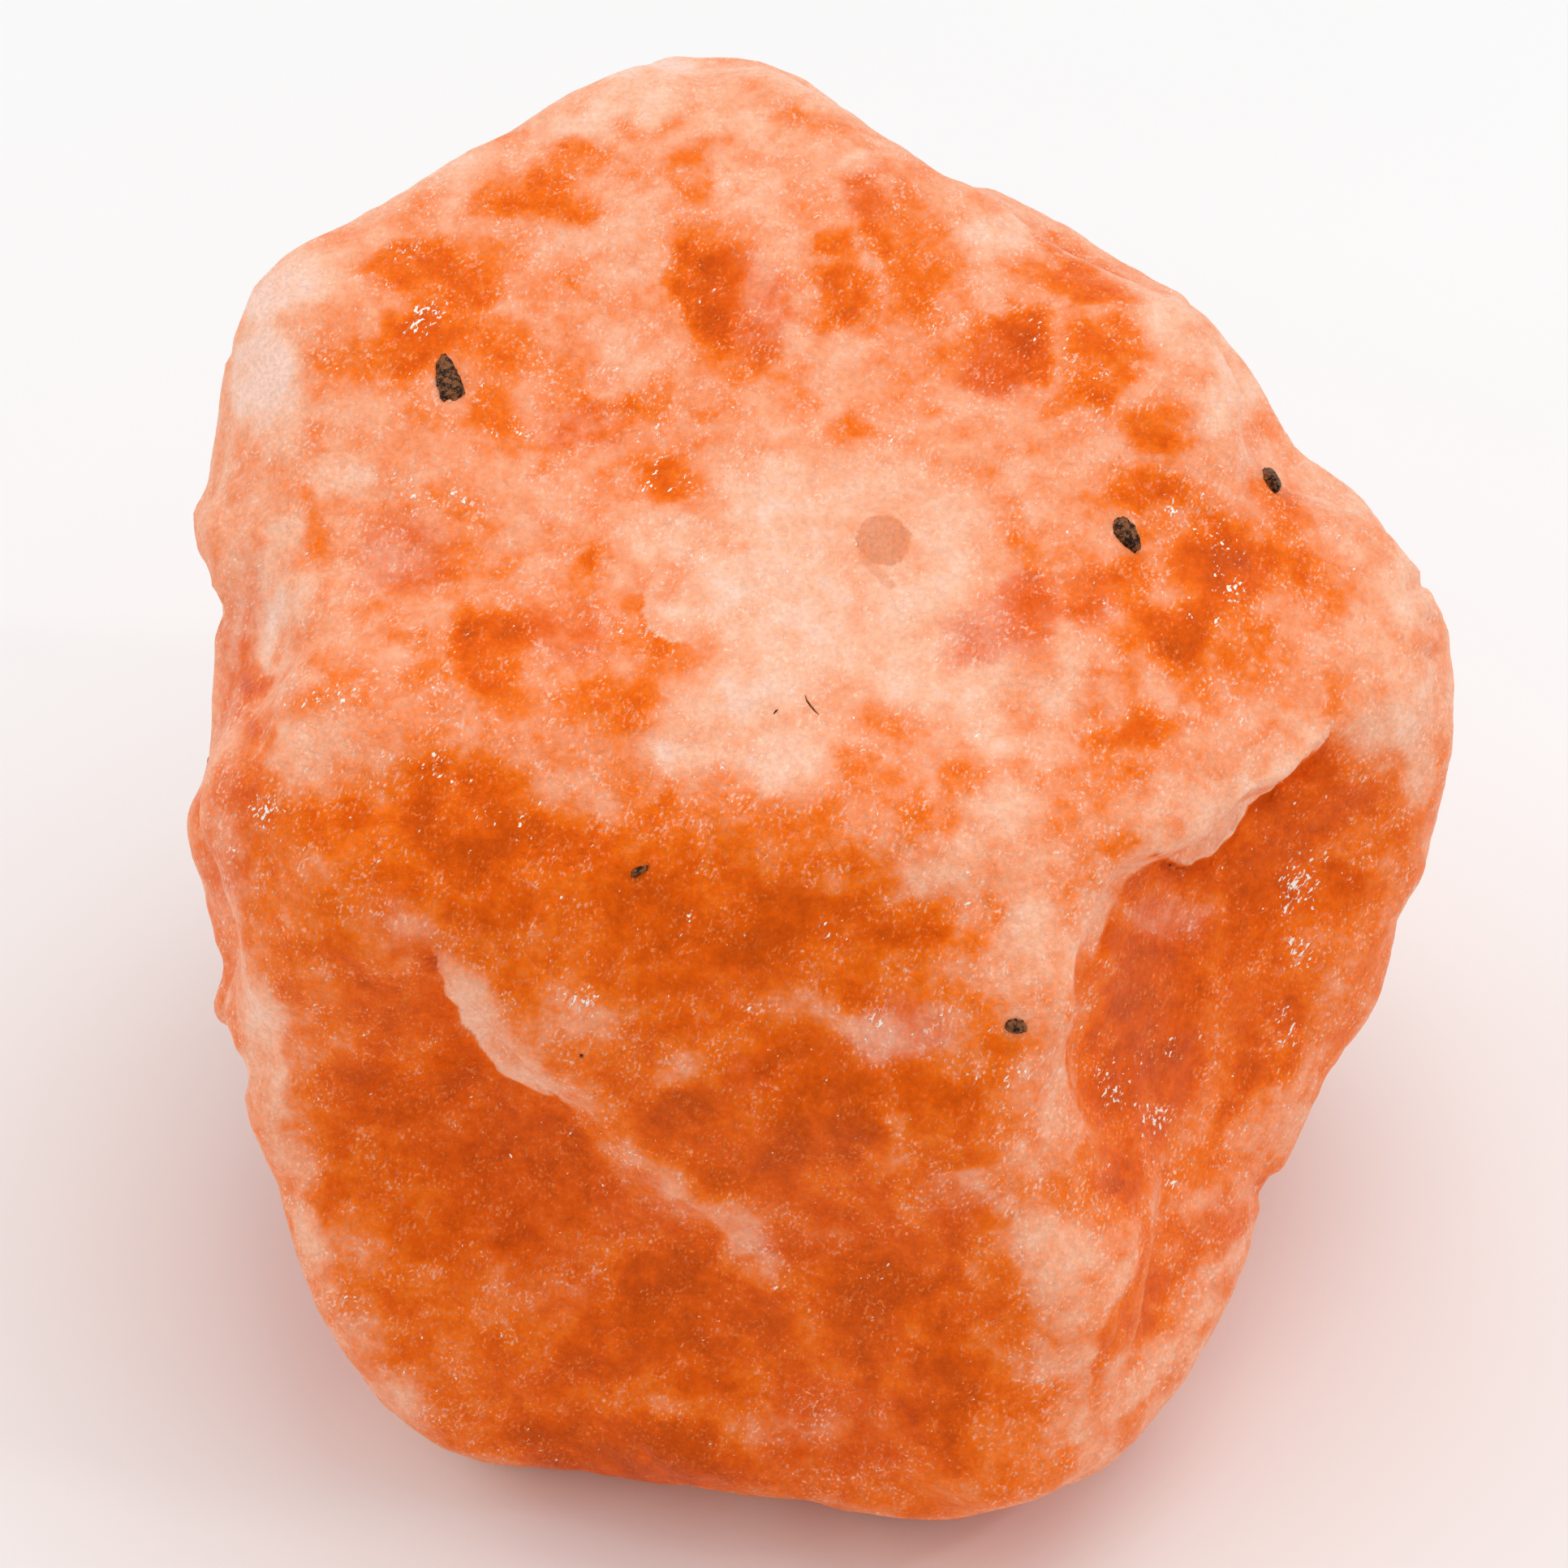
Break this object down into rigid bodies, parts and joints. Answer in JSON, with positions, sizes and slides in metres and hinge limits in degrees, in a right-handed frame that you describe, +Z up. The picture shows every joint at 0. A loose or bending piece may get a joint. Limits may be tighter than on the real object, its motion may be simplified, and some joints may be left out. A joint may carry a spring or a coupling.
{
  "type": "raw sunstone",
  "caption": "Raw sunstone: a broken, slightly weathered lump of orange and peach feldspar that lies on its flattest face.",
  "frame": {"origin": "on the plane of the face that the stone lies on, below the middle of its bounding box", "axes": "+Z up from the resting face, +Y from the steep front towards the back and along the stone's longest extent, +X to the right as the front is looked at"},
  "size_m": [0.0484, 0.0515, 0.0416],
  "materials": {
    "stone": "waxy broken surface, mottled peach, coral and deep orange"
  },
  "bodies": {
    "root": {"raw_sunstone": "stone"}
  },
  "joints": []
}
